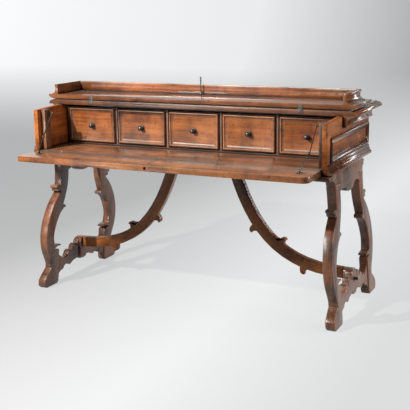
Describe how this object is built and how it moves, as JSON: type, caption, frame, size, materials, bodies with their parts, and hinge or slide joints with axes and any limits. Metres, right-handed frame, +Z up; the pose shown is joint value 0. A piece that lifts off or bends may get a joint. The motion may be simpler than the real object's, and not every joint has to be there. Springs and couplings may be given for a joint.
{
  "type": "writing bureau",
  "caption": "Walnut writing bureau: a low case on lyre trestles with curved braces, a folding lid, a fall that opens as the writing surface, and a row of small drawers.",
  "frame": {"origin": "on the floor under the middle of the bounding box, with the fall open and the lid folded back", "axes": "+X to the right along the length as seen by the sitter, +Y towards the back, +Z up"},
  "size_m": [1.685, 0.9244, 1.1184],
  "materials": {
    "walnut": "waxed and polished",
    "dark_walnut": "aged",
    "drawer_walnut": "waxed and polished",
    "iron": "dark wrought"
  },
  "bodies": {
    "case": {"left_front_leg": "walnut", "left_rear_leg": "walnut", "left_crown": "walnut", "left_stretcher": "walnut", "left_brace": "walnut", "left_brace_bolt": "iron", "right_front_leg": "walnut", "right_rear_leg": "walnut", "right_crown": "walnut", "right_stretcher": "walnut", "right_brace": "walnut", "right_brace_bolt": "iron", "case_floor": "dark_walnut", "case_back": "dark_walnut", "front_base_rail": "dark_walnut", "left_side": "walnut", "left_base_moulding": "walnut", "left_panel_moulding": "walnut", "left_frieze": "walnut", "left_stop_batten": "walnut", "right_side": "walnut", "right_base_moulding": "walnut", "right_panel_moulding": "walnut", "right_frieze": "walnut", "right_stop_batten": "walnut", "drawer_bank": "dark_walnut", "fixed_top": "walnut", "left_lid_hinge_fixed_leaf": "iron", "right_lid_hinge_fixed_leaf": "iron", "left_fall_hinge_fixed_leaf": "iron", "right_fall_hinge_fixed_leaf": "iron"},
    "lid": {"lid_board": "walnut", "lid_skirt": "walnut", "left_lid_hinge_moving_leaf": "iron", "right_lid_hinge_moving_leaf": "iron"},
    "hasp": {"lid_hasp": "iron"},
    "fall": {"fall_board": "walnut", "left_fall_hinge_moving_leaf": "iron", "right_fall_hinge_moving_leaf": "iron", "left_stay_foot": "iron", "right_stay_foot": "iron"},
    "left_upper_link": {"left_stay_upper": "iron"},
    "left_lower_link": {"left_stay_lower": "iron"},
    "right_upper_link": {"right_stay_upper": "iron"},
    "right_lower_link": {"right_stay_lower": "iron"},
    "drawer_1": {"drawer_1_front": "drawer_walnut", "drawer_1_box": "dark_walnut", "drawer_1_knob": "iron"},
    "drawer_2": {"drawer_2_front": "drawer_walnut", "drawer_2_box": "dark_walnut", "drawer_2_knob": "iron"},
    "drawer_3": {"drawer_3_front": "drawer_walnut", "drawer_3_box": "dark_walnut", "drawer_3_knob": "iron"},
    "drawer_4": {"drawer_4_front": "drawer_walnut", "drawer_4_box": "dark_walnut", "drawer_4_knob": "iron"},
    "drawer_5": {"drawer_5_front": "drawer_walnut", "drawer_5_box": "dark_walnut", "drawer_5_knob": "iron"}
  },
  "joints": [
    {"name": "lid_fold", "type": "hinge", "parent": "case", "child": "lid", "pos_m": [0, -0.05655, 1.0008], "axis": [-1, 0, 0], "range_deg": [-180, 0]},
    {"name": "hasp_swing", "type": "hinge", "parent": "lid", "child": "hasp", "pos_m": [-0.036, 0.14965, 1.0314], "axis": [1, 0, 0], "range_deg": [0, 60]},
    {"name": "fall_fold", "type": "hinge", "parent": "case", "child": "fall", "pos_m": [0, -0.24875, 0.76], "axis": [1, 0, 0], "range_deg": [-90, 0]},
    {"name": "left_upper_pivot", "type": "hinge", "parent": "case", "child": "left_upper_link", "pos_m": [-0.711, -0.21275, 0.945], "axis": [1, 0, 0], "range_deg": [0, 51.3]},
    {"name": "right_upper_pivot", "type": "hinge", "parent": "case", "child": "right_upper_link", "pos_m": [0.711, -0.21275, 0.945], "axis": [1, 0, 0], "range_deg": [0, 51.3]},
    {"name": "left_foot_pivot", "type": "hinge", "parent": "fall", "child": "left_lower_link", "pos_m": [-0.6931, -0.37775, 0.772], "axis": [1, 0, 0], "range_deg": [-11.1, 0]},
    {"name": "right_foot_pivot", "type": "hinge", "parent": "fall", "child": "right_lower_link", "pos_m": [0.6931, -0.37775, 0.772], "axis": [1, 0, 0], "range_deg": [-11.1, 0]},
    {"name": "drawer_1_slide", "type": "slide", "parent": "case", "child": "drawer_1", "axis": [0, -1, 0], "range_m": [0, 0.18]},
    {"name": "drawer_2_slide", "type": "slide", "parent": "case", "child": "drawer_2", "axis": [0, -1, 0], "range_m": [0, 0.3]},
    {"name": "drawer_3_slide", "type": "slide", "parent": "case", "child": "drawer_3", "axis": [0, -1, 0], "range_m": [0, 0.3]},
    {"name": "drawer_4_slide", "type": "slide", "parent": "case", "child": "drawer_4", "axis": [0, -1, 0], "range_m": [0, 0.3]},
    {"name": "drawer_5_slide", "type": "slide", "parent": "case", "child": "drawer_5", "axis": [0, -1, 0], "range_m": [0, 0.18]}
  ],
  "couplings": [
    {"joint": "left_upper_pivot", "follows": "fall_fold", "ratio": -0.56931},
    {"joint": "right_upper_pivot", "follows": "fall_fold", "ratio": -0.56931},
    {"joint": "left_foot_pivot", "follows": "fall_fold", "ratio": 0.12282},
    {"joint": "right_foot_pivot", "follows": "fall_fold", "ratio": 0.12282}
  ]
}
